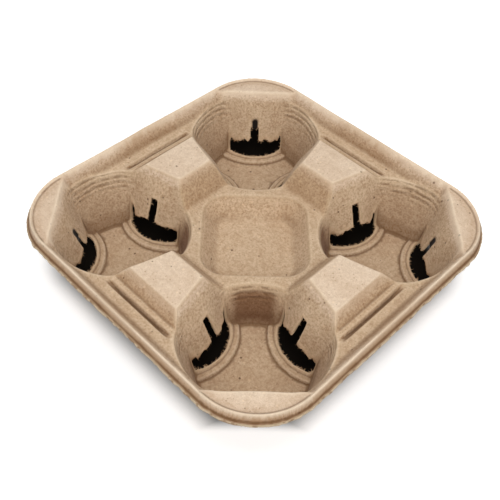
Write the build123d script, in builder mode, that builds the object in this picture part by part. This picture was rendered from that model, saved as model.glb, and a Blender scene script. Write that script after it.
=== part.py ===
import os
from math import atan, cos, degrees, radians, sqrt, tan

from build123d import *

# A carrier tray of moulded paper pulp for four cups: one thin shell, formed over a mould in one piece.
# The origin is the centre of the underside. X and Y run along the sides, +Z is up, in millimetres.

# Driving dimensions
length = 221.5              # over the lip, the same both ways
height = 50.8               # from the underside of the cup floors to the crest of the rim
wall = 2.0                  # thickness of the pulp

lip_width = 1.75            # flat lip round the foot of the skirt
lip_drop = 6.4              # from the crest down to the lip's upper face
corner_radius = 43.0        # of the lip, at the tray's corners
skirt_draft = 16.0          # degrees from upright, outside the crest
crest_width = 1.6           # of the rim's top, before its two edges are bevelled
crest_bevel = 0.5           # of those edges
rim_draft = 29.7            # degrees from upright, inside the crest

deck_drop = 2.8             # from the crest down to the pads and the corner ledges
side_drop = 10.2            # from the crest down to the strips along the sides
strip_width = 14.6          # of a strip, from the rim's foot to the pad's foot
pad_draft = 26.0            # degrees from upright, a pad's outer slope

cup_margin = 53.5           # from a cup's axis to the outer edge of the lip
cup_radius = 33.0           # at the floor of a cup pocket
cup_mouth = 44.3            # radius of the pocket's round wall at the level of the strips
lobes_per_cup = 3           # the first one stands in the tray's corner

lobe_reach = 31.8           # from the cup's axis to a lobe, at the bend in its face
lobe_bend = 33.9            # height of that bend
lobe_draft = 18.8           # degrees from upright below the bend
ledge_draft = 28.3          # above it, on the lobe under a corner ledge
shelf_draft = 37.2          # above it, on the lobes under the pads
lobe_radius = 34.0          # of a lobe's rounded face, square to its slope

step_centre = 50.0          # from the cup's axis to the centre of the step round a lobe
step_radius = 36.3          # of that step's upright face
step_height = 2.0           # at the edge nearest the cup's axis
step_rise = 21.0            # degrees from level, from that edge up to the lobe

slot_centre = 47.2          # from the cup's axis to the centre of the slot's inner curve
slot_radius = 27.4          # of that curve
slot_length = 30.0          # of the slot under a lobe's two flaps
flap_reach = 27.0           # from the cup's axis to the flaps' lower edge
flap_bulge = 2.5            # how far the middle of that edge stands out from its ends
slit_reach = 31.8           # from the cup's axis to the end of the slit between two flaps
slit_width = 2.0

hub_height = 31.1           # of the plateau in the middle of the tray
hub_reach = 44.5            # from the centre to the foot of a pad's inner slope
hub_draft = 31.7            # degrees from upright, that slope
core_height = 17.5          # floor of the hollow in the plateau
core_width = 48.0           # of that floor, whose sides face the cups
core_corner = 8.0           # radius of the floor's corners
core_draft = 42.3           # degrees from upright, the sides of the hollow

groove_margin = 7.0         # from the rim's foot to the middle of the groove beside a pad
groove_width = 3.8          # of its mouth
groove_length = 62.0        # of its mouth
groove_depth = 6.0
groove_draft = 13.0         # degrees from upright, its sides
groove_lead = 63.0          # degrees from upright, its ends

# Worked out from the driving dimensions
lip_height = height - lip_drop
deck_height = height - deck_drop
side_height = height - side_drop
corner_centre = length / 2 - corner_radius
skirt_reach = length / 2 - lip_width
crest_reach = skirt_reach - lip_drop * tan(radians(skirt_draft))
rim_reach = crest_reach - crest_width
rim_foot = rim_reach - side_drop * tan(radians(rim_draft))
pad_foot = rim_foot - strip_width
groove_reach = rim_foot - groove_margin
cup_place = length / 2 - cup_margin
cup_diagonal = cup_place * sqrt(2)
cup_draft = degrees(atan((cup_mouth - cup_radius) / (side_height - wall)))
strip_length = 2 * cup_place - wall
spare = 2.0                 # how far a space runs on past the solid that it is cut from


def run(rise, draft):
    """Level distance that a face of this draft covers over a rise."""
    return rise * tan(radians(draft))


def inset(depth, draft):
    """Level distance, at one height lower by depth, between a face and its copy depth behind it."""
    return depth / cos(radians(draft)) - run(depth, draft)


def rim_body(depth):
    """The block under the skin that lies depth inside the upper face: lip and skirt, all solid."""
    if depth == 0:
        base_reach = length / 2
        bottom = 0
    else:
        base_reach = length / 2 + spare
        bottom = -spare
    base = lip_height - depth
    reach = skirt_reach - inset(depth, skirt_draft)
    with BuildPart() as body:
        with BuildSketch(Plane.XY.offset(bottom)):
            RectangleRounded(2 * base_reach, 2 * base_reach, base_reach - corner_centre)
        extrude(amount=base - bottom)
        with BuildSketch(Plane.XY.offset(base)):
            RectangleRounded(2 * reach, 2 * reach, reach - corner_centre)
        extrude(amount=lip_drop, taper=skirt_draft)
    return body.part


def basin(depth):
    """The space inside the rim, down to the level of the pads and the corner ledges."""
    reach = rim_reach - run(deck_drop, rim_draft) + inset(depth, rim_draft)
    with BuildPart() as space:
        with BuildSketch(Plane.XY.offset(deck_height - depth)):
            RectangleRounded(2 * reach, 2 * reach, reach - corner_centre)
        extrude(amount=deck_drop + depth + spare, taper=-rim_draft)
    return space.part


def groove(depth):
    """The narrow groove along the strip on the +X side."""
    top = side_height - depth
    bottom = top - groove_depth
    mouth = groove_width / 2 + inset(depth, groove_draft)
    floor = mouth - run(groove_depth, groove_draft)
    long_mouth = groove_length / 2 + inset(depth, groove_lead)
    long_floor = long_mouth - run(groove_depth, groove_lead)
    with BuildPart() as space:
        with BuildSketch(Plane.XZ):
            with BuildLine():
                Polyline(
                    (groove_reach - floor, bottom),
                    (groove_reach + floor, bottom),
                    (groove_reach + mouth, top),
                    (groove_reach - mouth, top),
                    close=True,
                )
            make_face()
        extrude(amount=groove_length, both=True)
        with BuildSketch(Plane.YZ):
            with BuildLine():
                Polyline(
                    (-long_floor, bottom),
                    (long_floor, bottom),
                    (long_mouth, top),
                    (-long_mouth, top),
                    close=True,
                )
            make_face()
        extrude(amount=length, mode=Mode.INTERSECT)
    return space.part


def side_strip(depth):
    """The sunk strip beside the pad on the +X side, with the groove along it."""
    top = height + spare
    furrow = groove(depth)
    with BuildPart() as space:
        with BuildSketch(Plane.XZ.offset(-strip_length / 2)):
            with BuildLine():
                Polyline(
                    (pad_foot, side_height),
                    (rim_foot, side_height),
                    (rim_foot + run(top - side_height, rim_draft), top),
                    (pad_foot - run(top - side_height, pad_draft), top),
                    close=True,
                )
            make_face()
            if depth > 0:
                offset(amount=depth, kind=Kind.INTERSECTION)
        extrude(amount=strip_length)
        add(furrow)
    return space.part


def hub(depth):
    """The sunk middle between the four pads."""
    reach = hub_reach + inset(depth, hub_draft)
    with BuildPart() as space:
        with BuildSketch(Plane.XY.offset(hub_height - depth)):
            Rectangle(2 * reach, 2 * reach)
        extrude(amount=height - hub_height + depth, taper=-hub_draft)
    return space.part


def core(depth):
    """The hollow in the middle of the hub, turned so that its sides face the cups."""
    width = core_width + 2 * inset(depth, core_draft)
    radius = core_corner + inset(depth, core_draft)
    with BuildPart() as space:
        with BuildSketch(Plane.XY.offset(core_height - depth)):
            RectangleRounded(width, width, radius, rotation=45)
        extrude(amount=hub_height - core_height + depth + spare, taper=-core_draft)
    return space.part


def lobe(depth, upper_draft):
    """One lobe, on the +X side of the cup's axis: a leaning round bar with a flat facet above the bend."""
    axis_reach = lobe_reach + lobe_radius / cos(radians(lobe_draft))
    top = height + spare
    facet_top = lobe_reach + run(top - lobe_bend, upper_draft) + depth / cos(radians(upper_draft))
    facet_foot = facet_top - run(top + spare, upper_draft)
    with BuildPart() as solid:
        with Locations(Location((axis_reach, 0, lobe_bend), (0, lobe_draft, 0))):
            Cylinder(radius=lobe_radius - depth, height=4 * height)
        with BuildSketch(Plane.XZ):
            with BuildLine():
                Polyline(
                    (facet_foot, -spare),
                    (2 * cup_mouth, -spare),
                    (2 * cup_mouth, top),
                    (facet_top, top),
                    close=True,
                )
            make_face()
        extrude(amount=cup_mouth, both=True, mode=Mode.INTERSECT)
    return solid.part


def foot_step(depth):
    """The stepped platform round the foot of the lobe on the +X side of the cup's axis."""
    front = step_centre - step_radius
    drop = depth / cos(radians(step_rise))
    edge = wall + step_height - drop
    with BuildPart() as solid:
        with BuildSketch(Plane.XY.offset(-spare)):
            with Locations((step_centre, 0)):
                Circle(step_radius - depth)
        extrude(amount=height)
        with BuildSketch(Plane.XZ):
            with BuildLine():
                Polyline(
                    (front, -spare),
                    (step_centre, -spare),
                    (step_centre, edge + (step_centre - front) * tan(radians(step_rise))),
                    (front, edge),
                    close=True,
                )
            make_face()
        extrude(amount=step_radius, both=True, mode=Mode.INTERSECT)
    return solid.part


def cup_pocket(depth):
    """The space of one cup pocket, its axis at the origin, with its corner lobe towards +X."""
    reach = cup_radius + inset(depth, cup_draft)
    outer_lobe = lobe(depth, ledge_draft)
    inner_lobe = lobe(depth, shelf_draft)
    step = foot_step(depth)
    with BuildPart() as space:
        with BuildSketch(Plane.XY.offset(wall - depth)):
            Circle(reach)
        extrude(amount=height - wall + depth, taper=-cup_draft)
        for turn in range(lobes_per_cup):
            with PolarLocations(0, 1, start_angle=turn * 360 / lobes_per_cup):
                add(outer_lobe if turn == 0 else inner_lobe, mode=Mode.SUBTRACT)
                add(step, mode=Mode.SUBTRACT)
    return space.part


def skin(depth):
    """Everything under the skin that lies depth inside the tray's upper face."""
    rim = rim_body(depth)
    inside = basin(depth)
    middle = hub(depth)
    hollow = core(depth)
    strip = side_strip(depth)
    pocket = cup_pocket(depth)
    with BuildPart() as body:
        add(rim)
        add(inside, mode=Mode.SUBTRACT)
        add(middle, mode=Mode.SUBTRACT)
        add(hollow, mode=Mode.SUBTRACT)
        with PolarLocations(0, 4):
            add(strip, mode=Mode.SUBTRACT)
        with PolarLocations(cup_diagonal, 4, start_angle=45):
            add(pocket, mode=Mode.SUBTRACT)
    return body.part


def flap_cut():
    """The T-shaped cut at the foot of one lobe, which frees its two flaps, beside the cup's axis."""
    half = slot_length / 2
    inner_side = slot_centre - sqrt(slot_radius**2 - half**2)
    outer_side = flap_reach + flap_bulge
    with BuildPart() as cut:
        with BuildSketch(Plane.XY.offset(-spare)):
            with BuildLine():
                ThreePointArc((inner_side, -half), (slot_centre - slot_radius, 0), (inner_side, half))
                Line((inner_side, half), (outer_side, half))
                ThreePointArc((outer_side, half), (flap_reach, 0), (outer_side, -half))
                Line((outer_side, -half), (inner_side, -half))
            make_face()
            with BuildLine():
                Polyline(
                    (flap_reach - spare, -slit_width / 2),
                    (slit_reach, -slit_width / 2),
                    (slit_reach, slit_width / 2),
                    (flap_reach - spare, slit_width / 2),
                    close=True,
                )
            make_face()
        extrude(amount=height + spare)
    return cut.part


upper = skin(0)
lower = skin(wall)
flaps = flap_cut()

with BuildPart() as cup_carrier:
    add(upper)
    add(lower, mode=Mode.SUBTRACT)
    crest = cup_carrier.edges().filter_by_position(Axis.Z, height - 0.01, height + 0.01)
    chamfer(crest, length=crest_bevel)
    for cup_angle in range(45, 360, 90):
        for turn in range(lobes_per_cup):
            with PolarLocations(cup_diagonal, 1, start_angle=cup_angle):
                with PolarLocations(0, 1, start_angle=turn * 360 / lobes_per_cup):
                    add(flaps, mode=Mode.SUBTRACT)

os.makedirs("parts", exist_ok=True)
cup_carrier.part.label = "cup_carrier"
export_step(cup_carrier.part, "parts/cup_carrier.step")
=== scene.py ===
import math

import bpy
import numpy as np
from mathutils import Matrix, Vector


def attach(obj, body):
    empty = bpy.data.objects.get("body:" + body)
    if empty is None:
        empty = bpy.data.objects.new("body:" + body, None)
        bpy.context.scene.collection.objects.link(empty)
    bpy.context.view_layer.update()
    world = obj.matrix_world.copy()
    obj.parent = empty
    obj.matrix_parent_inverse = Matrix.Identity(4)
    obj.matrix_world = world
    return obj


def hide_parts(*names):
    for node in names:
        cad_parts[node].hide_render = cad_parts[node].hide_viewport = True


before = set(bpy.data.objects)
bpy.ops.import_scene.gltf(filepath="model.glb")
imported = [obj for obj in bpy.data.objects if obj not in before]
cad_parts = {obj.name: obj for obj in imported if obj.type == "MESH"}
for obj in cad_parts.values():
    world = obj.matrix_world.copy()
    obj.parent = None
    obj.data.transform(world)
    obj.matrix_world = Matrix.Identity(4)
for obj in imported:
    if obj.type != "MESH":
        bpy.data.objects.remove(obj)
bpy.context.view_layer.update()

# A carrier tray of moulded paper pulp for four cups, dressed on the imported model.
# The tray is shaped here as a height over its plan, in millimetres, and made a closed shell in metres.

# Sizes of the tray in millimetres, from its middle line or from a cup's axis; a slope is height over run
crest_height = 48.95        # where the rim's two slopes start to meet
crest_reach = 106.25
crest_corner = 39.0
rim_slope = 1.75            # the rim's inner side
skirt_slope = 3.4           # the rim's outer side
lip_height = 44.3
lip_slope = 0.12
lip_reach = 110.75
floor_height = 2.0
wall = 2.0
strip_height = 40.6
pad_height = 47.75
pad_foot = 87.0             # where a pad rises out of the strip
pad_slope = 1.1
ledge_height = 48.5
ledge_start = 120.4         # along the diagonal
ledge_slope = 1.9
hub_height = 31.1
hub_edge = 44.5             # where the hub's plateau turns up to the pads
hub_slope = 1.62
core_height = 17.5          # of the hollow in the middle of the hub
core_reach = 25.5
core_corner = 8.0
core_slope = 1.75
cup_place = 57.25
cup_radius = 33.0           # at the floor
cup_slope = 1 / 0.292
cup_reach = 46              # at the mouth
groove_place = 92.1
groove_width = 3.5
groove_depth = 4.6
groove_slope = 3.2
groove_end = 28.0
groove_fade = 12            # the groove gets shallower over this length

# A lobe's outline in its middle: distance from the cup's axis, and height
lobe_foot = 6.9
lobe_face = ((22.6, lobe_foot), (27.0, 19.1), (31.8, 33.9))
corner_lobe = lobe_face + ((39.4, ledge_height),)
pad_lobe = lobe_face + ((42.5, pad_height),)
lobe_radius = 24            # across its face at the foot
lobe_flat = 42              # above the foot, where the face is flat across
lobe_turns = (0, 120, -120)

# The two steps at a lobe's foot, round an axis on its middle line.
# Each has a riser and a tread, as height, radius and slope, and the blend between them.
step_place = 50.0
low_step = ((floor_height, 35.3, 2.8), (3.8, 34.6, 0.2), 0.25)
high_step = ((4.4, 31.4, 2.0), (5.1, 31.1, 0.5), 0.3)

# Cut and tear: a crescent slot, the flaps' torn edge, and a slit up the middle
slot_centre = 47.2
slot_radius = 27.4
slot_half = 18.6
flap_reach = 25.9
flap_radius = 45            # of the bow of the torn edge
horn_foot = 4.4             # the edge turns up between these two distances from the slot's end
horn_top = 3.2
slit_start = 24             # along the lobe, from the cup's axis
slit_reach = 29.6
slit_half = 3.3
slit_taper = 0.12
score_start = 26            # a scored furrow goes on from the slit; under the pads the slit is open as far
score_reach = 32.2
score_width = 2.1
score_depth = 3.0
curl_place = 26.5           # the flaps are curled up beside their torn edge
curl_height = 1.5

# How finely the shell is made
plan_half = 114.4
upper_step = 0.4
under_share = 3             # the under face has every third point of the upper one's grid
shell_triangles = 194000


# Shape of the pulp

def soft_min(a, b, blend):
    """The lower of two heights, with the crease between them rounded."""
    h = np.clip(0.5 + 0.5 * (b - a) / blend, 0, 1)
    return b + (a - b) * h - blend * h * (1 - h)


def soft_max(a, b, blend):
    """The higher of two heights, with the crease between them rounded."""
    return -soft_min(-a, -b, blend)


def rise(value, start, end):
    """0 below start, 1 above end, and smooth between them."""
    t = np.clip((value - start) / (end - start), 0, 1)
    return t * t * (3 - 2 * t)


def hump(value, middle, width):
    """1 in the middle, and falling smoothly to 0 on both sides of it."""
    return np.exp(-((value - middle) / width) ** 2)


def uneven(x, y, size, seed):
    """A soft random field over the plan, from -1 to 1, whose hills are about one size apart."""
    table = np.random.default_rng(seed).uniform(-1, 1, (64, 64))
    u, v = x / size + 500, y / size + 500
    i, j = np.floor(u).astype(int), np.floor(v).astype(int)
    s, t = u - i, v - j
    s, t = s * s * (3 - 2 * s), t * t * (3 - 2 * t)
    low = table[i % 64, j % 64] * (1 - s) + table[(i + 1) % 64, j % 64] * s
    high = table[i % 64, (j + 1) % 64] * (1 - s) + table[(i + 1) % 64, (j + 1) % 64] * s
    return low * (1 - t) + high * t


def past_square(x, y, reach, radius):
    """Distance outside a square with rounded corners; negative inside it."""
    qx, qy = np.abs(x) - (reach - radius), np.abs(y) - (reach - radius)
    return np.hypot(np.maximum(qx, 0), np.maximum(qy, 0)) + np.minimum(np.maximum(qx, qy), 0) - radius


def turned(along, across, degrees):
    """The same place, measured from an axis turned by that many degrees."""
    c, s = math.cos(math.radians(degrees)), math.sin(math.radians(degrees))
    return along * c + across * s, across * c - along * s


def cup_frame(x, y):
    """Place measured from the nearest cup's axis: outward along the diagonal, and across it."""
    px, py = np.abs(x) - cup_place, np.abs(y) - cup_place
    return (px + py) / math.sqrt(2), (py - px) / math.sqrt(2)


def lobe(along, across, outline):
    """Height of a lobe's rounded face, which flattens towards its top.

    The bow across the face depends on the height, so the height is found in a few rounds.
    """
    far = np.array([p[0] for p in outline])
    high = np.array([p[1] for p in outline])
    first = (high[1] - high[0]) / (far[1] - far[0])
    last = (high[-1] - high[-2]) / (far[-1] - far[-2])

    def middle(q):
        z = np.interp(q, far, high)
        z = np.where(q < far[0], high[0] + first * (q - far[0]), z)
        return np.where(q > far[-1], high[-1] + last * (q - far[-1]), z)

    z = middle(along)
    for _ in range(6):
        curve = np.clip(1 - (z - lobe_foot) / lobe_flat, 0, 1.2) / lobe_radius
        z = 0.5 * z + 0.5 * middle(along - 0.5 * curve * across * across)
    return z


def foot_step(from_axis, riser, tread, blend):
    """Height of a step at a lobe's foot."""
    up, top = (height + (radius - from_axis) * slope for height, radius, slope in (riser, tread))
    return soft_min(up, top, blend)


def score_line(along, beside):
    """The scored furrow up a lobe's face, from 0 beside it to 1 in its middle."""
    line = hump(beside, 0, score_width) * rise(along, score_start, score_start + 2)
    return line * (1 - rise(along, score_reach - 1, score_reach))


def pocket_height(out, across, x, y):
    """A cup's pocket: a bowl with three lobes, each with a stepped foot."""
    r = np.hypot(out, across)
    bowl = floor_height + (r - cup_radius) * cup_slope
    waver = 1.2 * uneven(x, y, 17, 3)
    ring = 1.3 * rise(bowl, 24.5 + waver, 26.5 + waver)
    bowl = soft_max(bowl + ring, floor_height, 2.0)
    lobes = lobe(out, across, corner_lobe)
    for turn in lobe_turns[1:]:
        along, beside = turned(out, across, turn)
        lobes = soft_max(lobes, lobe(along, beside, pad_lobe), 1.5)
    pocket = soft_max(bowl, lobes, 5)
    # The forms run softly into one another, but for the sharp foot
    pocket = pocket + (blurred(pocket, 200) - pocket) * rise(pocket, 8, 20)
    for turn in lobe_turns:
        along, beside = turned(out, across, turn)
        from_axis = np.hypot(step_place - along, beside)
        steps = soft_max(foot_step(from_axis, *low_step), foot_step(from_axis, *high_step), 0.2)
        pocket = soft_max(pocket, np.where(along > 0, steps, -10), 0.2)
        curl = hump(along, curl_place, 2.6)
        curl = curl * (hump(np.abs(beside), 2.6, 1.9) + 0.5 * hump(np.abs(beside), 11, 2.5))
        pocket = pocket + curl_height * curl * rise(uneven(x, y, 5, 7), -0.3, 0.7)
        pocket = pocket - score_depth * score_line(along, beside)
    return pocket


def tray_level(x, y):
    """Height of the tray's upper face as if it had no pockets: rim, strips, pads, ledges and hub."""
    ax, ay = np.abs(x), np.abs(y)
    past_crest = past_square(x, y, crest_reach, crest_corner)
    to_side = np.maximum(ax, ay)
    level = soft_max(crest_height + rim_slope * (past_crest + 0.6), strip_height, 3.5)
    hub_side = hub_height + (to_side - hub_edge) * hub_slope
    pad = soft_min(pad_height, strip_height + pad_slope * (pad_foot - to_side), 0.6)
    pad = soft_min(pad, hub_side, 1.1)
    level = soft_max(level, pad, 0.8)
    ledge = ledge_height + ledge_slope * ((ax + ay) / math.sqrt(2) - ledge_start)
    level = soft_max(level, soft_min(ledge_height, ledge, 1.2), 1.5)
    return soft_min(level, soft_max(hub_height, hub_side, 4.0), 2.0)


def tray_height(x, y):
    """Height of the tray's upper face."""
    ax, ay = np.abs(x), np.abs(y)
    past_crest = past_square(x, y, crest_reach, crest_corner)
    out, across = cup_frame(x, y)
    to_side, along_side = np.maximum(ax, ay), np.minimum(ax, ay)

    # The pockets' upper edges are softer at the hub
    edge_blend = 1.1 + 3.4 * (1 - rise(to_side, 44, 60))
    z = soft_min(tray_level(x, y), pocket_height(out, across, x, y), edge_blend)
    a, b = turned(x, y, 45)
    core_side = core_height + past_square(a, b, core_reach, core_corner) * core_slope
    z = soft_min(z, soft_max(core_height, core_side, 5.0), 2.0)

    # The groove in a side strip
    end = np.clip((groove_end - along_side) / groove_fade, 0, 1)
    furrow = strip_height + 0.3 + (np.abs(to_side - groove_place) - groove_width / 2) * groove_slope
    furrow = soft_max(furrow, strip_height - groove_depth * end, 2.4)
    z = soft_min(z, furrow + np.maximum(along_side - groove_end, 0) * 5, 0.9)

    # The rim's outer side, and the lip at its foot
    z = soft_min(z, crest_height - skirt_slope * (past_crest - 0.9), 1.2)
    lip = np.where(past_crest > 0.5, lip_height - lip_slope * (past_crest - 3), -50)
    z = soft_max(z, lip, 0.4)
    return z + 0.22 * uneven(x, y, 19, 1) + 0.08 * uneven(x, y, 6, 2)


def torn_margin(x, y):
    """Distance inside the pulp from the nearest tear or edge; negative in an opening and past the lip."""
    out, across = cup_frame(x, y)
    fray = 0.55 * uneven(x, y, 3.4, 11) + 0.4 * uneven(x, y, 1.5, 12)
    margin = np.full(np.shape(x), 9.0)
    for turn in lobe_turns:
        along, beside = turned(out, across, turn)
        inner = slot_radius - np.hypot(slot_centre - along, beside) + 0.3 * fray
        # The end of a slot that lies towards the corner at -x, +y has the longer horn
        c, s = math.cos(math.radians(turn)), math.sin(math.radians(turn))
        far_end = (c * (np.sign(x) + np.sign(y)) + s * (np.sign(x) - np.sign(y))) / 2 * np.sign(beside)
        at_end = rise(np.abs(beside) + 0.5 * fray, slot_half - horn_foot, slot_half - horn_top)
        horns = (0.4 + np.maximum(far_end, 0)) * at_end
        outer = flap_reach + beside * beside / (2 * flap_radius) + horns - along + 0.6 * fray
        slot = np.minimum(np.minimum(inner, outer), slot_half - np.abs(beside) + fray)
        slit = slit_half - slit_taper * (along - flap_reach) + 0.45 * fray - np.abs(beside)
        open_to = slit_reach if turn == 0 else score_reach
        slit = np.minimum(np.minimum(along - slit_start, open_to - along), slit)
        margin = np.minimum(margin, -np.maximum(slot, slit))
    # The lip's ragged edge stays inside its reach
    deckle = 1.1 + 0.3 * uneven(x, y, 23, 15) + 0.12 * uneven(x, y, 7, 13) + 0.28 * uneven(x, y, 2.6, 14)
    lip = lip_reach - deckle - crest_reach
    return np.minimum(margin, lip - past_square(x, y, crest_reach, crest_corner))


def sunk(height, step, depth):
    """Height of the face that lies depth behind this one."""
    reach = int(depth / step)
    behind = height - depth
    for i in range(-reach, reach + 1):
        for j in range(-reach, reach + 1):
            away = step * math.hypot(i, j)
            if 0 < away < depth:
                behind = np.minimum(behind, np.roll(height, (i, j), (0, 1)) - math.sqrt(depth ** 2 - away ** 2))
    return behind


def openness(height, step):
    """How much of the sky each place of a height grid sees, from 0 to 1."""
    seen = np.zeros_like(height)
    directions = 12
    for turn in range(directions):
        angle = math.radians(360 / directions * turn + 7)
        steepest = np.zeros_like(height)
        for reach in (2.2, 4.5, 7.5, 11, 16, 23, 32, 45, 62):
            i, j = round(reach * math.cos(angle) / step), round(reach * math.sin(angle) / step)
            away = step * math.hypot(i, j)
            steepest = np.maximum(steepest, (np.roll(height, (i, j), (0, 1)) - height) / away)
        seen += 1 / (1 + steepest ** 2) / directions
    return seen


def blurred(grid, times):
    """The grid with each value spread over its neighbours."""
    for _ in range(times):
        for side in (0, 1):
            grid = 0.5 * grid + 0.25 * (np.roll(grid, 1, side) + np.roll(grid, -1, side))
    return grid


def at_places(grid, axis, x, y):
    """Values of a grid at places between its points."""
    step = axis[1] - axis[0]
    u = np.clip((x - axis[0]) / step, 0, len(axis) - 1.001)
    v = np.clip((y - axis[0]) / step, 0, len(axis) - 1.001)
    i, j = u.astype(int), v.astype(int)
    s, t = u - i, v - j
    low = grid[i, j] * (1 - s) + grid[i + 1, j] * s
    high = grid[i, j + 1] * (1 - s) + grid[i + 1, j + 1] * s
    return low * (1 - t) + high * t


# The sheet of triangles, its tears and its edges

def cut_sheet(axis, height, margin):
    """Triangles over the plan, cut where the margin turns negative: points, faces, and the loops of the cut."""
    n = len(axis)
    x, y = np.meshgrid(axis, axis, indexing="ij")
    points = np.stack([x, y, height], -1).reshape(-1, 3)
    margin = margin.reshape(-1)
    i, j = np.meshgrid(np.arange(n - 1), np.arange(n - 1), indexing="ij")
    a = (i * n + j).ravel()
    b, c, d = a + n, a + n + 1, a + 1
    even = ((i + j) % 2 == 0).ravel()
    faces = np.concatenate([
        np.stack([a, b, c], 1)[even], np.stack([a, c, d], 1)[even],
        np.stack([a, b, d], 1)[~even], np.stack([b, c, d], 1)[~even],
    ])
    inside = (margin > 0)[faces].sum(1)
    kept = faces[inside == 3].tolist()
    new_points, crossings, following = [], {}, {}

    def crossing(p, q):
        key = (min(p, q), max(p, q))
        if key not in crossings:
            t = margin[p] / (margin[p] - margin[q])
            crossings[key] = len(points) + len(new_points)
            new_points.append(points[p] + (points[q] - points[p]) * t)
        return crossings[key]

    for face in faces[(inside > 0) & (inside < 3)].tolist():
        ring = []
        leave = enter = None
        for k in range(3):
            p, q = face[k], face[(k + 1) % 3]
            if margin[p] > 0:
                ring.append(p)
            if (margin[p] > 0) != (margin[q] > 0):
                spot = crossing(p, q)
                ring.append(spot)
                if margin[p] > 0:
                    leave = spot
                else:
                    enter = spot
        following[leave] = enter
        for k in range(1, len(ring) - 1):
            kept.append([ring[0], ring[k], ring[k + 1]])

    loops = []
    while following:
        start, here = following.popitem()
        loop = [start]
        while here != start:
            loop.append(here)
            here = following.pop(here)
        loops.append(loop)
    points = np.concatenate([points, np.array(new_points)])
    kept = np.array(kept)
    used, kept = np.unique(kept, return_inverse=True)
    renumber = np.full(len(points), -1)
    renumber[used] = np.arange(len(used))
    return points[used], kept.reshape(-1, 3), [renumber[np.array(loop)] for loop in loops]


def lace(points, first, second):
    """Triangles between two loops that run side by side."""
    nearest = np.argmin(((points[second] - points[first[0]]) ** 2).sum(1))
    second = np.roll(second, -nearest)
    n, m = len(first), len(second)
    faces, i, j = [], 0, 0
    while i < n or j < m:
        p, q = first[i % n], second[j % m]
        next_p, next_q = first[(i + 1) % n], second[(j + 1) % m]
        ahead = ((points[next_p] - points[q]) ** 2).sum()
        behind = ((points[next_q] - points[p]) ** 2).sum()
        if j == m or (i < n and ahead <= behind):
            faces.append((next_p, p, q))
            i += 1
        else:
            faces.append((p, q, next_q))
            j += 1
    return faces


def slopes(height, step):
    """The upward normal of a height grid."""
    gx, gy = np.gradient(height, step)
    length = np.sqrt(1 + gx * gx + gy * gy)
    return -gx / length, -gy / length, 1 / length


def mesh_object(name, points, faces, material=None):
    """A mesh object at the origin from points in millimetres."""
    mesh = bpy.data.meshes.new(name)
    points, faces = np.asarray(points, np.float32), np.asarray(faces, np.int32)
    mesh.vertices.add(len(points))
    mesh.vertices.foreach_set("co", (points * 0.001).ravel())
    mesh.loops.add(faces.size)
    mesh.loops.foreach_set("vertex_index", faces.ravel())
    mesh.polygons.add(len(faces))
    mesh.polygons.foreach_set("loop_start", np.arange(0, faces.size, 3, dtype=np.int32))
    mesh.update(calc_edges=True)
    mesh.validate()
    if material:
        mesh.materials.append(material)
    made = bpy.data.objects.new(name, mesh)
    bpy.context.scene.collection.objects.link(made)
    return made


def settled(made):
    """Makes a piece and its modifiers one plain mesh."""
    evaluated = made.evaluated_get(bpy.context.evaluated_depsgraph_get())
    mesh = bpy.data.meshes.new_from_object(evaluated)
    made.modifiers.clear()
    old, made.data = made.data, mesh
    bpy.data.meshes.remove(old)
    mesh.name = made.name


def vertex_places(mesh):
    """A mesh's points in millimetres."""
    places = np.zeros(len(mesh.vertices) * 3, np.float32)
    mesh.vertices.foreach_get("co", places)
    return places.reshape(-1, 3) * 1000


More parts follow.
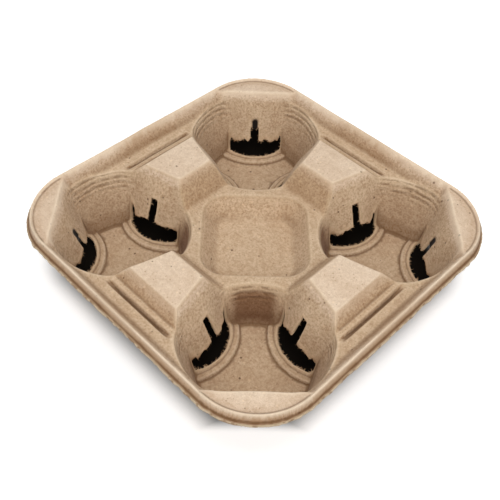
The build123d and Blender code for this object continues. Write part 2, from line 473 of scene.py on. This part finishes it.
def build_shell():
    """The pulp shell and the middle line of its torn edges, with the way out of each."""
    axis = np.arange(-plan_half, plan_half + 0.1, upper_step)
    x, y = np.meshgrid(axis, axis, indexing="ij")
    top = tray_height(x, y)
    under = np.maximum(blurred(sunk(top, upper_step, wall), 2), 0)
    top_normal = slopes(top, upper_step)
    ux, uy, _ = slopes(under, upper_step)
    margin = torn_margin(x, y)
    under_margin = torn_margin(x + wall * ux, y + wall * uy)

    every = slice(None, None, under_share)
    upper, upper_faces, upper_loops = cut_sheet(axis, top, margin)
    lower, lower_faces, lower_loops = cut_sheet(axis[every], under[every, every], under_margin[every, every])
    # Loops too short to be an opening or the lip get no edge
    upper_loops = [loop for loop in upper_loops if len(loop) > 90]
    lower_loops = [loop for loop in lower_loops if len(loop) > 30]
    points = [upper, lower]
    faces = upper_faces.tolist() + (lower_faces[:, ::-1] + len(upper)).tolist()
    count = len(upper) + len(lower)
    lower_middles = np.array([lower[loop].mean(0) for loop in lower_loops])
    lower_lengths = np.array([len(loop) for loop in lower_loops])
    edge_places, edge_ways = [], []
    for loop in upper_loops:
        rim = upper[loop]
        ahead = np.roll(rim, -2, 0) - np.roll(rim, 2, 0)
        normal = np.stack([at_places(part, axis, rim[:, 0], rim[:, 1]) for part in top_normal], 1)
        way = np.cross(ahead, normal)
        way /= np.linalg.norm(way, axis=1)[:, None] + 1e-9
        bulge = 0.25 + 0.2 * uneven(rim[:, 0], rim[:, 1], 1.3, 21)
        middle = rim - 0.5 * wall * normal + way * bulge[:, None]
        middle[:, 2] = np.maximum(middle[:, 2], 0.1)
        ring = np.arange(count, count + len(loop))
        points.append(middle)
        count += len(loop)
        edge_places.append(middle)
        edge_ways.append(way)
        following = np.roll(loop, -1)
        ring_following = np.roll(ring, -1)
        faces += np.stack([following, loop, ring], 1).tolist()
        faces += np.stack([following, ring, ring_following], 1).tolist()
        # The under face's loop of the same opening: nearest, and about as long
        apart = np.linalg.norm(lower_middles - rim.mean(0), axis=1)
        gap = apart + 0.5 * np.abs(lower_lengths * under_share - len(loop))
        match = lower_loops[int(np.argmin(gap))] + len(upper)
        faces += lace(np.concatenate(points), ring, match)

    shell = mesh_object("pulp_tray", np.concatenate(points), faces)
    thin = shell.modifiers.new("thinned", "DECIMATE")
    thin.ratio = shell_triangles / len(faces)
    settled(shell)
    mesh = shell.data
    mesh.polygons.foreach_set("use_smooth", np.ones(len(mesh.polygons), bool))
    store_marks(mesh, axis, top, under, margin, under_margin)
    return shell, np.concatenate(edge_places), np.concatenate(edge_ways)


def store_marks(mesh, axis, top, under, margin, under_margin):
    """Stores on the shell's points the numbers that its material goes by."""
    px, py, pz = vertex_places(mesh).T

    def on_points(grid):
        return at_places(grid, axis, px, py)

    beneath = (np.abs(pz - on_points(under)) < np.abs(pz - on_points(top))).astype(float)
    above = 1 - beneath
    ridge = on_points(top - blurred(top, 40)) * above - on_points(under - blurred(under, 40)) * beneath
    edge = np.where(beneath > 0.5, on_points(under_margin), on_points(margin))

    lean = 1 - slopes(top, upper_step)[2]
    steepness = blurred(lean, 12)
    steep = rise(on_points(steepness), 0.3, 0.5) * above
    crease = on_points((top - blurred(top, 8)) * (1 - 0.75 * rise(steepness, 0.3, 0.55))) * above
    x, y = np.meshgrid(axis, axis, indexing="ij")
    open_face = on_points(tray_level(x, y) - top) < 1.5
    slope = rise(on_points(blurred(lean, 4)), 0.03, 0.25) * open_face * above

    # Rings and painted shade on a pocket's wall between the lobes, which differ at its inner side, towards the
    # hub
    out, across = cup_frame(px, py)
    in_cup = np.hypot(out, across) < cup_reach
    from_lobe = np.abs((np.degrees(np.arctan2(across, out)) + 60) % 120 - 60)
    inner = rise(-out, 14, 22) * (1 - rise(np.abs(across), 9, 17))
    inner_terrace = inner * rise(pz, 17, 23) * (1 - rise(pz, 31, 32.5)) * in_cup
    side_terrace = (1 - inner) * rise(from_lobe, 22, 40) * rise(pz, 27, 32) * (1 - rise(pz, 41, 44))
    recess = rise(from_lobe, 22, 46) * (0.16 + 1.04 * inner) * rise(pz, 2, 7) * (1 - rise(pz, 20 + 4 * inner, 30))

    past_crest = past_square(px, py, crest_reach, crest_corner)
    skirt = rise(past_crest, 0.5, 1.3) * (1 - rise(past_crest, 2.3, 2.9))
    score = np.zeros_like(px)
    for turn in lobe_turns:
        score = np.maximum(score, score_line(*turned(out, across, turn)) * above)
    sky = blurred(openness(top[::2, ::2], 2 * upper_step), 1)

    marks = {
        "underside": beneath,
        # How far a place stands out of those round it, and the same over a smaller distance
        "ridge": np.clip(ridge / 1.2, -1, 1),
        "crease": np.clip(crease / 0.3, -1, 1),
        # Sloping faces outside the pockets, for painted shade; the bands of moulded rings, for relief and painted
        # shade lines; and the foot of the walls between the lobes, for painted shade
        "slope": slope * (1 - rise(out, 0, 16)),
        "terrace": np.maximum(inner_terrace, side_terrace) * steep,
        "recess": recess * steep * in_cup,
        # The top of the rim, for a painted highlight; its outer side with less of the inner one, for painted
        # shade; and the lip
        "crest": hump(past_crest, 0.3, 0.55) * above,
        "skirt": np.maximum(skirt, 0.3 * hump(past_crest, -3.2, 2.2)) * above,
        "lip": past_crest > 3,
        # Within about a millimetre of a torn edge, and on a scored furrow, which is painted near-black as the
        # shade of a cut
        "tear": 1 - rise(edge, 0.1, 1.3),
        "score": score,
        # How open a place is to the sky; the less open, the more painted shade
        "sky": at_places(sky, axis[::2], px, py) * above + 0.5 * beneath,
    }
    for name, values in marks.items():
        mark = mesh.attributes.new(name, "FLOAT", "POINT")
        mark.data.foreach_set("value", np.asarray(values, np.float32))


# Shader nodes

def linear(*srgb):
    """A colour written in 0 to 255, as the shader takes it."""
    parts = [c / 255 for c in srgb]
    return tuple(c / 12.92 if c <= 0.04045 else ((c + 0.055) / 1.055) ** 2.4 for c in parts) + (1.0,)


class Bench:
    """Places nodes in a tree, in rows from left to right."""

    def __init__(self, tree):
        self.tree = tree
        self.count = 0

    def node(self, kind, **settings):
        made = self.tree.nodes.new(kind)
        made.location = (200 * (self.count % 8) - 900, 300 - 220 * (self.count // 8))
        self.count += 1
        for name, value in settings.items():
            setattr(made, name, value)
        return made

    def feed(self, socket, value):
        if isinstance(value, bpy.types.NodeSocket):
            self.tree.links.new(value, socket)
        else:
            socket.default_value = value

    def math(self, operation, first, second=0.0, clamp=False):
        made = self.node("ShaderNodeMath", operation=operation, use_clamp=clamp)
        self.feed(made.inputs[0], first)
        self.feed(made.inputs[1], second)
        return made.outputs[0]

    def times(self, first, second):
        return self.math("MULTIPLY", first, second)

    def plus(self, first, second):
        return self.math("ADD", first, second)

    def scaled(self, vector, factor):
        made = self.node("ShaderNodeVectorMath", operation="SCALE")
        self.feed(made.inputs[0], vector)
        self.feed(made.inputs["Scale"], factor)
        return made.outputs[0]

    def counted(self, vector, size, per_metre=1000.0):
        """A place in metres, counted in steps of a size in millimetres."""
        return self.scaled(vector, self.math("DIVIDE", per_metre, size))

    def combined(self, operation, first, second):
        made = self.node("ShaderNodeVectorMath", operation=operation)
        self.feed(made.inputs[0], first)
        self.feed(made.inputs[1], second)
        return made.outputs[0]

    def parts(self, vector):
        made = self.node("ShaderNodeSeparateXYZ")
        self.feed(made.inputs[0], vector)
        return made.outputs

    def blend(self, factor, first, second, kind="MIX"):
        made = self.node("ShaderNodeMix", data_type="RGBA", blend_type=kind)
        self.feed(made.inputs[0], factor)
        self.feed(made.inputs[6], first)
        self.feed(made.inputs[7], second)
        return made.outputs[2]

    def span(self, value, low, high, to_low=0.0, to_high=1.0, kind="SMOOTHSTEP"):
        made = self.node("ShaderNodeMapRange", interpolation_type=kind)
        for socket, given in zip(made.inputs, (value, low, high, to_low, to_high)):
            self.feed(socket, given)
        return made.outputs[0]

    def noise(self, vector, scale, detail=2.0, roughness=0.5):
        made = self.node("ShaderNodeTexNoise")
        self.feed(made.inputs["Vector"], vector)
        self.feed(made.inputs["Scale"], scale)
        made.inputs["Detail"].default_value = detail
        made.inputs["Roughness"].default_value = roughness
        return made

    def cells(self, vector, scale):
        made = self.node("ShaderNodeTexVoronoi", feature="F1")
        self.feed(made.inputs["Vector"], vector)
        self.feed(made.inputs["Scale"], scale)
        return made

    def group(self, tree, **values):
        made = self.node("ShaderNodeGroup", node_tree=tree)
        for name, value in values.items():
            self.feed(made.inputs[name.replace("_", " ").capitalize()], value)
        return made.outputs

    def mark(self, name):
        """One of the numbers that store_marks puts on the shell's points."""
        return self.node("ShaderNodeAttribute", attribute_name=name).outputs["Fac"]

    def seen(self):
        """1 for what is looked at, straight or by a reflection or refraction, and 0 for what gives light."""
        path = self.node("ShaderNodeLightPath").outputs
        by_way = self.math("MAXIMUM", path["Is Glossy Ray"], path["Is Transmission Ray"])
        return self.math("MAXIMUM", path["Is Camera Ray"], by_way)

    def bump(self, height, strength, distance):
        made = self.node("ShaderNodeBump")
        made.inputs["Strength"].default_value = strength
        made.inputs["Distance"].default_value = distance
        self.feed(made.inputs["Height"], height)
        return made.outputs["Normal"]

    def paper(self, colour, rough, normal, specular, sheen=0.0):
        made = self.node("ShaderNodeBsdfPrincipled")
        made.inputs["Specular IOR Level"].default_value = specular
        made.inputs["Sheen Weight"].default_value = sheen
        made.inputs["Sheen Roughness"].default_value = 0.6
        self.feed(made.inputs["Base Color"], colour)
        self.feed(made.inputs["Roughness"], rough)
        self.feed(made.inputs["Normal"], normal)
        return made.outputs[0]

    def surface(self, shader):
        self.feed(self.node("ShaderNodeOutputMaterial").inputs["Surface"], shader)


def new_material(name):
    """An empty material, and the bench for its nodes."""
    material = bpy.data.materials.new(name)
    material.use_nodes = True
    material.node_tree.nodes.clear()
    return material, Bench(material.node_tree)


def effect(name, inputs, outputs):
    """An empty shader node group with named inputs and outputs: its bench, its inputs and its output node."""
    tree = bpy.data.node_groups.new(name, "ShaderNodeTree")
    for label, kind, value in inputs:
        socket = tree.interface.new_socket(label, in_out="INPUT", socket_type=kind)
        if value is not None:
            socket.default_value = value
    for label, kind in outputs:
        tree.interface.new_socket(label, in_out="OUTPUT", socket_type=kind)
    bench = Bench(tree)
    given = bench.node("NodeGroupInput").outputs
    result = bench.node("NodeGroupOutput").inputs
    return tree, bench, given, result


def felted_fibres():
    """Short fibres that lie every way: how pale each place is, and how high it stands."""
    tree, bench, given, result = effect(
        "felted fibres",
        [("Vector", "NodeSocketVector", None), ("Fibre size", "NodeSocketFloat", 1.0)],
        [("Shade", "NodeSocketFloat"), ("Relief", "NodeSocketFloat")],
    )
    place = bench.counted(given["Vector"], given["Fibre size"])
    shades = []
    for turn, shift in ((0.0, (0.0, 0.0, 0.0)), (1.7, (3.1, 7.7, 5.3))):
        patch = bench.cells(bench.combined("ADD", place, shift), 0.55)
        spin = bench.node("ShaderNodeVectorRotate", rotation_type="EULER_XYZ")
        bench.feed(spin.inputs["Vector"], place)
        bench.feed(spin.inputs["Rotation"], bench.scaled(patch.outputs["Color"], 6.28 + turn))
        strands = bench.combined("MULTIPLY", spin.outputs[0], (3.4, 0.55, 0.9))
        shades.append(bench.noise(strands, 1.0, 1.5, 0.6).outputs["Fac"])
    woven = bench.times(bench.plus(*shades), 0.5)
    grain = bench.noise(place, 2.6, 2.0, 0.65).outputs["Fac"]
    relief = bench.plus(bench.times(woven, 0.65), bench.times(grain, 0.35))
    bench.feed(result["Shade"], bench.span(relief, 0.36, 0.64, kind="LINEAR"))
    bench.feed(result["Relief"], relief)
    return tree


def paper_flecks():
    """Scattered specks of other paper in the pulp, as a mask."""
    tree, bench, given, result = effect(
        "paper flecks",
        [("Vector", "NodeSocketVector", None), ("Spacing", "NodeSocketFloat", 4.0),
         ("Size", "NodeSocketFloat", 0.5), ("Share", "NodeSocketFloat", 0.5)],
        [("Mask", "NodeSocketFloat")],
    )
    place = bench.counted(given["Vector"], given["Spacing"])
    ragged = bench.noise(place, 5.0).outputs["Color"]
    ragged = bench.scaled(bench.combined("SUBTRACT", ragged, (0.5, 0.5, 0.5)), 0.12)
    speck = bench.cells(bench.combined("ADD", place, ragged), 1.0)
    draws = bench.node("ShaderNodeSeparateColor")
    bench.feed(draws.inputs[0], speck.outputs["Color"])
    reach = bench.times(bench.math("DIVIDE", given["Size"], given["Spacing"]), bench.plus(draws.outputs[1], 0.35))
    far = bench.span(speck.outputs["Distance"], bench.times(reach, 0.55), reach)
    chosen = bench.math("LESS_THAN", draws.outputs[0], given["Share"])
    bench.feed(result["Mask"], bench.times(bench.math("SUBTRACT", 1.0, far), chosen))
    return tree


def cloudy_tone():
    """Slow change of tone where the pulp settled thicker or thinner, from -1 to 1."""
    tree, bench, given, result = effect(
        "cloudy tone",
        [("Vector", "NodeSocketVector", None), ("Cloud size", "NodeSocketFloat", 20.0)],
        [("Tone", "NodeSocketFloat")],
    )
    place = bench.counted(given["Vector"], given["Cloud size"])
    cloud = bench.noise(place, 1.0, 3.0, 0.6).outputs["Fac"]
    bench.feed(result["Tone"], bench.span(cloud, 0.3, 0.7, -1.0, 1.0))
    return tree


def wire_marks():
    """The weave of the forming screen, pressed in the face that lay on it."""
    tree, bench, given, result = effect(
        "wire marks",
        [("Vector", "NodeSocketVector", None), ("Pitch", "NodeSocketFloat", 0.9)],
        [("Relief", "NodeSocketFloat")],
    )
    # In radians: two pi to the pitch
    x, y, z = bench.parts(bench.counted(given["Vector"], given["Pitch"], per_metre=6283.2))
    across = bench.math("SINE", bench.plus(x, bench.times(z, 0.6)))
    down = bench.math("SINE", bench.plus(y, bench.times(z, 0.8)))
    bench.feed(result["Relief"], bench.times(across, down))
    return tree


def pulp_material(fibres, flecks, clouds, wires):
    """Kraft pulp: matt, felted and speckled, paler at its tears, with a painted highlight on its ridges and
    painted shade in its hollows.
    """
    material, bench = new_material("pulp")
    place = bench.node("ShaderNodeTexCoord").outputs["Object"]
    beneath, tear, at_lip, score, ridge, crease, crest, skirt, slope, sky, recess, terrace = (
        bench.mark(name) for name in ("underside", "tear", "lip", "score", "ridge", "crease",
                                      "crest", "skirt", "slope", "sky", "recess", "terrace"))

    fine = bench.group(fibres, vector=place, fibre_size=0.75)
    coarse = bench.group(fibres, vector=place, fibre_size=2.1)
    mottle = bench.group(fibres, vector=place, fibre_size=4.2)["Shade"]
    cloud = bench.group(clouds, vector=place, cloud_size=26.0)["Tone"]
    blotch = bench.group(clouds, vector=place, cloud_size=5.0)["Tone"]
    stipple = bench.group(clouds, vector=place, cloud_size=1.35)["Tone"]
    dark = bench.group(flecks, vector=place, spacing=5.5, size=0.75, share=0.42)["Mask"]
    aside = bench.combined("ADD", place, (0.37, 0.21, 0.11))
    pale = bench.group(flecks, vector=aside, spacing=3.2, size=0.9, share=0.3)["Mask"]
    aside = bench.combined("ADD", place, (0.13, 0.41, 0.29))
    bran = bench.group(flecks, vector=aside, spacing=2.1, size=0.45, share=0.45)["Mask"]

    # Height in metres, made a little uneven, and the rougher faces: below the rim, the steep ones most
    height = bench.parts(bench.combined("ADD", place, bench.scaled((0.0, 0.0, 0.0009), cloud)))[2]
    low = bench.span(height, 0.0470, 0.0440)
    upward = bench.parts(bench.node("ShaderNodeNewGeometry").outputs["Normal"])[2]
    rough_face = bench.times(low, bench.span(upward, 0.95, 0.6, 0.5, 1.0))

    ring_wave = 1800.0      # radians to the metre, for a ring every 3.5 mm
    rings = bench.times(bench.math("SINE", bench.times(height, ring_wave)), terrace)
    rings = bench.times(rings, bench.span(blotch, -0.9, 0.3, 0.2, 1.0))
    # The lip's torn edge, pale or dark brown in blotches; the dark is partly painted shade under the lip
    lip_edge = bench.blend(bench.span(blotch, 0.0, 0.7), linear(216, 200, 170), linear(128, 98, 68))

    colour = bench.blend(fine["Shade"], linear(203, 175, 147), linear(247, 229, 207))
    for amount, shade, kind in (
        # How the pulp settled
        (bench.times(coarse["Shade"], 0.35), linear(236, 212, 184), "MIX"),
        (bench.span(mottle, 0.0, 1.0, 0.3, 0.0), linear(182, 150, 118), "MIX"),
        (bench.times(low, bench.span(mottle, 0.1, 0.7, 0.22, 0.0)), linear(176, 142, 108), "MIX"),
        (bench.times(rough_face, bench.span(stipple, 0.0, 0.8, 0.0, 0.42)), linear(166, 130, 96), "MIX"),
        (bench.times(rough_face, bench.span(stipple, 0.0, -0.8, 0.0, 0.26)), linear(246, 226, 200), "MIX"),
        (bench.span(cloud, -1, 1, 0.0, 0.16), linear(176, 136, 96), "MIX"),
        (bench.span(blotch, 0, 1, 0.0, 0.10), linear(160, 122, 86), "MIX"),
        # Flecks
        (bench.times(bran, 0.5), linear(150, 112, 76), "MIX"),
        (bench.times(pale, 0.55), linear(240, 216, 186), "MIX"),
        (bench.times(dark, 0.8), linear(96, 66, 42), "MIX"),
        # Painted light and shade: a painted highlight on ridges and painted shade in hollows, darker below the
        # strips' height, painted shade on sloping faces, on faces that see little of the sky, at the foot of the
        # walls and on the rim's outer side, painted shade in creases, and a painted highlight on rounded edges
        # and along the crest
        (bench.span(ridge, 0.1, 1.0, 0.0, 0.35), linear(246, 226, 198), "MIX"),
        (bench.span(ridge, -0.1, -1.0, 0.0, 0.38), linear(140, 105, 70), "MIX"),
        (bench.span(height, 0.0465, 0.0405), linear(234, 228, 218), "MULTIPLY"),
        # Painted shade on the sloping faces outside the pockets
        (bench.times(slope, 0.55), linear(216, 202, 184), "MULTIPLY"),
        # Painted shade where a face sees little of the sky
        (bench.span(sky, 0.75, 0.2, 0.0, 0.26), linear(150, 108, 70), "MULTIPLY"),
        # Painted shade at the foot of a pocket's wall, between the lobes
        (bench.times(recess, 0.62), linear(142, 100, 58), "MULTIPLY"),
        # Painted shade on the rim's outer side and at the foot of its inner side
        (bench.times(skirt, 0.9), linear(188, 160, 128), "MULTIPLY"),
        # Painted shade in concave creases, and a faint painted highlight on convex ones
        (bench.span(crease, -0.15, -0.9, 0.0, 0.6), linear(104, 72, 44), "MIX"),
        (bench.span(crease, 0.2, 1.0, 0.0, 0.12), linear(250, 232, 208), "MIX"),
        # Painted highlight along the top of the rim
        (bench.times(crest, 0.15), linear(252, 232, 206), "MIX"),
        # Painted shade lines along the moulded rings, tears, near-black painted shade in the scored furrows, and
        # the face that lay on the screen
        (bench.span(rings, 0.0, 0.9, 0.0, 0.45), linear(120, 86, 54), "MIX"),
        (bench.times(tear, 0.6), bench.blend(at_lip, linear(222, 192, 156), lip_edge), "MIX"),
        # Near-black painted shade in the scored furrows, as in an open cut
        (bench.span(score, 0.15, 0.6), linear(22, 14, 8), "MIX"),
        (bench.times(beneath, 0.2), linear(178, 144, 108), "MIX"),
    ):
        colour = bench.blend(amount, colour, shade, kind)

    rough = bench.span(fine["Shade"], 0.0, 1.0, 0.97, 0.86)
    rough = bench.math("ADD", rough, bench.times(tear, 0.03), clamp=True)

    weave = bench.group(wires, vector=place, pitch=0.9)["Relief"]
    relief = bench.times(coarse["Relief"], 0.9)
    for part in (
        bench.times(fine["Relief"], 0.55),
        bench.times(weave, bench.times(beneath, 0.12)),
        bench.times(rings, -0.8),
        bench.times(pale, 0.18),
        bench.times(bench.times(fine["Relief"], tear), 1.2),
    ):
        relief = bench.plus(relief, part)
    normal = bench.bump(relief, 0.85, 0.0004)
    bench.surface(bench.paper(colour, rough, normal, specular=0.14, sheen=0.06))
    return material


def shred_material(fibres, clouds):
    """Loose shreds and fibres where the pulp was torn."""
    material, bench = new_material("torn_pulp")
    place = bench.node("ShaderNodeTexCoord").outputs["Object"]
    felt = bench.group(fibres, vector=place, fibre_size=0.5)
    tone = bench.group(clouds, vector=place, cloud_size=2.0)["Tone"]
    colour = bench.blend(felt["Shade"], linear(190, 152, 114), linear(236, 208, 174))
    colour = bench.blend(bench.span(tone, -1, 1, 0.0, 0.5), colour, linear(164, 126, 88))
    rough = bench.span(felt["Shade"], 0, 1, 0.98, 0.9)
    bench.surface(bench.paper(colour, rough, bench.bump(felt["Relief"], 0.6, 0.0002), specular=0.2))
    return material


# Shreds along the torn edges

def shred_tree(material):
    """Geometry nodes: bent, tapered shreds on a share of the points of an edge, pointing out of the pulp."""
    tree = bpy.data.node_groups.new("shreds", "GeometryNodeTree")
    inputs = {}
    for label, kind, value in (
        ("Edge", "NodeSocketGeometry", None), ("Share", "NodeSocketFloat", 0.2),
        ("Length", "NodeSocketFloat", 0.0012), ("Thickness", "NodeSocketFloat", 0.00016),
        ("Spread", "NodeSocketFloat", 0.9), ("Seed", "NodeSocketInt", 1),
    ):
        socket = tree.interface.new_socket(label, in_out="INPUT", socket_type=kind)
        if value is not None:
            socket.default_value = value
        inputs[label] = socket.identifier
    tree.interface.new_socket("Shreds", in_out="OUTPUT", socket_type="NodeSocketGeometry")
    bench = Bench(tree)
    given = bench.node("NodeGroupInput").outputs

    line = bench.node("GeometryNodeCurveQuadraticBezier")
    line.inputs["Resolution"].default_value = 4
    line.inputs["Start"].default_value = (0, 0, 0)
    line.inputs["Middle"].default_value = (0.15, 0, 0.6)
    line.inputs["End"].default_value = (0.55, 0.1, 1.0)
    along = bench.node("GeometryNodeSplineParameter").outputs["Factor"]
    taper = bench.node("GeometryNodeSetCurveRadius")
    bench.feed(taper.inputs["Curve"], line.outputs[0])
    bench.feed(taper.inputs["Radius"], bench.math("SUBTRACT", 1.0, bench.times(along, 0.8)))
    section = bench.node("GeometryNodeCurvePrimitiveCircle")
    section.inputs["Resolution"].default_value = 4
    bench.feed(section.inputs["Radius"], bench.math("DIVIDE", given["Thickness"], given["Length"]))
    shred = bench.node("GeometryNodeCurveToMesh")
    bench.feed(shred.inputs["Curve"], taper.outputs[0])
    bench.feed(shred.inputs["Profile Curve"], section.outputs[0])
    bench.feed(shred.inputs["Scale"], bench.node("GeometryNodeInputRadius").outputs[0])
    shred.inputs["Fill Caps"].default_value = True

    way = bench.node("GeometryNodeInputNamedAttribute", data_type="FLOAT_VECTOR")
    way.inputs["Name"].default_value = "way"
    facing = bench.node("FunctionNodeAlignRotationToVector", axis="Z")
    bench.feed(facing.inputs["Vector"], way.outputs[0])
    tilt = bench.node("FunctionNodeRandomValue", data_type="FLOAT_VECTOR")
    bench.feed(tilt.inputs["Min"], bench.scaled((-1.0, -1.0, -3.6), given["Spread"]))
    bench.feed(tilt.inputs["Max"], bench.scaled((1.0, 1.0, 3.6), given["Spread"]))
    bench.feed(tilt.inputs["Seed"], given["Seed"])
    turn = bench.node("FunctionNodeRotateRotation", rotation_space="LOCAL")
    bench.feed(turn.inputs["Rotation"], facing.outputs[0])
    bench.feed(turn.inputs["Rotate By"], tilt.outputs[0])
    size = bench.node("FunctionNodeRandomValue", data_type="FLOAT")
    bench.feed(size.inputs[2], bench.times(given["Length"], 0.35))
    bench.feed(size.inputs[3], bench.times(given["Length"], 1.3))
    bench.feed(size.inputs["Seed"], bench.plus(given["Seed"], 5))
    pick = bench.node("FunctionNodeRandomValue", data_type="BOOLEAN")
    bench.feed(pick.inputs["Probability"], given["Share"])
    bench.feed(pick.inputs["Seed"], bench.plus(given["Seed"], 9))
    place = bench.node("GeometryNodeInstanceOnPoints")
    bench.feed(place.inputs["Points"], given["Edge"])
    bench.feed(place.inputs["Selection"], pick.outputs[3])
    bench.feed(place.inputs["Instance"], shred.outputs[0])
    bench.feed(place.inputs["Rotation"], turn.outputs[0])
    bench.feed(place.inputs["Scale"], size.outputs[1])
    real = bench.node("GeometryNodeRealizeInstances")
    bench.feed(real.inputs[0], place.outputs[0])
    finish = bench.node("GeometryNodeSetMaterial")
    bench.feed(finish.inputs["Geometry"], real.outputs[0])
    finish.inputs["Material"].default_value = material
    bench.feed(bench.node("NodeGroupOutput").inputs[0], finish.outputs[0])
    return tree, inputs


def add_shreds(name, tree, inputs, places, ways, **values):
    """One piece of shreds along the given points."""
    mesh = bpy.data.meshes.new(name)
    mesh.vertices.add(len(places))
    mesh.vertices.foreach_set("co", np.asarray(places * 0.001, np.float32).ravel())
    way = mesh.attributes.new("way", "FLOAT_VECTOR", "POINT")
    way.data.foreach_set("vector", np.asarray(ways, np.float32).ravel())
    made = bpy.data.objects.new(name, mesh)
    bpy.context.scene.collection.objects.link(made)
    modifier = made.modifiers.new("shreds", "NODES")
    modifier.node_group = tree
    for label, value in values.items():
        modifier[inputs[label.capitalize()]] = value
    settled(made)
    made.data.polygons.foreach_set("use_smooth", np.ones(len(made.data.polygons), bool))
    return made


# Stage, light and camera

def build_floor():
    """A plain pale floor, white to the camera and clear from below.

    A soft shadow is painted on it under the tray, so that no pale floor shows in the openings: a rounded
    square that stops short of the corner at +x, -y and has a round end at the opposite one. In metres.
    """
    middle, half, fade = (-0.005, 0.005), 0.066, (0.022, 0.046)
    near_fade = (0.150, 0.168)
    far_spot, far_fade = (-0.0838, 0.0859, -0.00015), (0.020, 0.034)

    material, bench = new_material("floor")
    place = bench.node("ShaderNodeTexCoord").outputs["Object"]
    sides = bench.parts(place)
    past = []
    for side in (0, 1):
        aside = bench.math("ABSOLUTE", bench.math("SUBTRACT", sides[side], middle[side]))
        past.append(bench.math("POWER", bench.math("MAXIMUM", bench.math("SUBTRACT", aside, half), 0.0), 2.0))
    outside = bench.math("SQRT", bench.plus(*past))
    nearness = bench.math("SUBTRACT", sides[0], sides[1])
    clear = bench.math("MAXIMUM", bench.span(outside, *fade), bench.span(nearness, *near_fade))
    from_spot = bench.node("ShaderNodeVectorMath", operation="DISTANCE")
    bench.feed(from_spot.inputs[0], place)
    bench.feed(from_spot.inputs[1], far_spot)
    clear = bench.math("MINIMUM", clear, bench.span(from_spot.outputs["Value"], *far_fade))
    clear = bench.math("POWER", clear, 1.5)

    paint = bench.node("ShaderNodeBsdfDiffuse")
    bench.feed(paint.inputs["Color"], bench.blend(clear, linear(20, 17, 14), linear(244, 244, 244)))
    lift = bench.node("ShaderNodeEmission")
    bench.feed(lift.inputs["Strength"], bench.times(bench.times(bench.seen(), clear), 0.5))
    both = bench.node("ShaderNodeAddShader")
    bench.feed(both.inputs[0], paint.outputs[0])
    bench.feed(both.inputs[1], lift.outputs[0])
    see_under = bench.node("ShaderNodeMixShader")
    bench.feed(see_under.inputs[0], bench.node("ShaderNodeNewGeometry").outputs["Backfacing"])
    bench.feed(see_under.inputs[1], both.outputs[0])
    bench.feed(see_under.inputs[2], bench.node("ShaderNodeBsdfTransparent").outputs[0])
    bench.surface(see_under.outputs[0])

    reach, level = 4000.0, -0.15
    corners = [(-reach, -reach, level), (reach, -reach, level), (reach, reach, level), (-reach, reach, level)]
    floor = mesh_object("floor", corners, [(0, 1, 2), (0, 2, 3)], material)


def light_all_round():
    """A white background, which gives less light than it shows."""
    world = bpy.data.worlds.new("studio")
    world.use_nodes = True
    bpy.context.scene.world = world
    bench = Bench(world.node_tree)
    background = world.node_tree.nodes["Background"].inputs
    bench.feed(background["Color"], (1, 1, 1, 1))
    bench.feed(background["Strength"], bench.math("MAXIMUM", bench.seen(), 0.4))


def add_lamp(name, azimuth, elevation, distance, size, watts):
    """A square soft lamp that faces the tray."""
    lamp = bpy.data.lights.new(name, "AREA")
    lamp.size = size
    lamp.energy = watts
    made = bpy.data.objects.new(name, lamp)
    turn, lift = math.radians(azimuth), math.radians(elevation)
    place = Vector((math.cos(turn) * math.cos(lift), math.sin(turn) * math.cos(lift), math.sin(lift))) * distance
    made.location = place
    made.rotation_euler = (-place).to_track_quat("-Z", "Y").to_euler()
    bpy.context.scene.collection.objects.link(made)


def add_camera():
    """The photograph's viewing angle: across the tray's diagonal, from well above."""
    yaw, pitch, roll = math.radians(1.64), math.radians(48.9), math.radians(-2.59)
    distance, focal_length = 0.4438, 51.66
    image_right, image_away = Vector((1, 1, 0)).normalized(), Vector((-1, 1, 0)).normalized()

    def in_frame(a, b, z):
        return image_right * a + image_away * b + Vector((0, 0, z))

    forward = in_frame(math.cos(pitch) * math.sin(yaw), math.cos(pitch) * math.cos(yaw), -math.sin(pitch))
    level = in_frame(math.cos(yaw), -math.sin(yaw), 0)
    upright = in_frame(math.sin(pitch) * math.sin(yaw), math.sin(pitch) * math.cos(yaw), math.cos(pitch))
    right = level * math.cos(roll) - upright * math.sin(roll)
    up = level * math.sin(roll) + upright * math.cos(roll)
    looked_at = in_frame(-0.00298, -0.00855, 0.0255)
    place = looked_at - forward * distance
    lens = bpy.data.cameras.new("camera")
    lens.lens = focal_length
    lens.sensor_width = 36
    camera = bpy.data.objects.new("camera", lens)
    camera.matrix_world = Matrix((
        (right.x, up.x, -forward.x, place.x),
        (right.y, up.y, -forward.y, place.y),
        (right.z, up.z, -forward.z, place.z),
        (0, 0, 0, 1),
    ))
    bpy.context.scene.collection.objects.link(camera)
    bpy.context.scene.camera = camera


felt = felted_fibres()
specks = paper_flecks()
tones = cloudy_tone()
screen = wire_marks()
pulp = pulp_material(felt, specks, tones, screen)
torn_pulp = shred_material(felt, tones)

tray, edge_places, edge_ways = build_shell()
tray.data.materials.append(pulp)
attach(tray, "root")
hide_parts("cup_carrier")

shreds, shred_inputs = shred_tree(torn_pulp)
at_lip = past_square(edge_places[:, 0], edge_places[:, 1], crest_reach, crest_corner) > 2
for piece_name, chosen, values in (
    ("flap_shreds", ~at_lip, dict(share=0.3, length=0.0013, thickness=0.00017, spread=0.8, seed=3)),
    ("lip_shreds", at_lip, dict(share=0.16, length=0.0004, thickness=0.0001, spread=0.6, seed=8)),
):
    piece = add_shreds(piece_name, shreds, shred_inputs, edge_places[chosen], edge_ways[chosen], **values)
    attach(piece, "root")

build_floor()
light_all_round()
add_lamp("overhead_lamp", azimuth=-45, elevation=82, distance=0.62, size=0.36, watts=1.75)
add_lamp("front_lamp", azimuth=-40, elevation=39, distance=1.4, size=1.0, watts=6.1)
add_camera()
bpy.context.scene.view_settings.view_transform = "Standard"
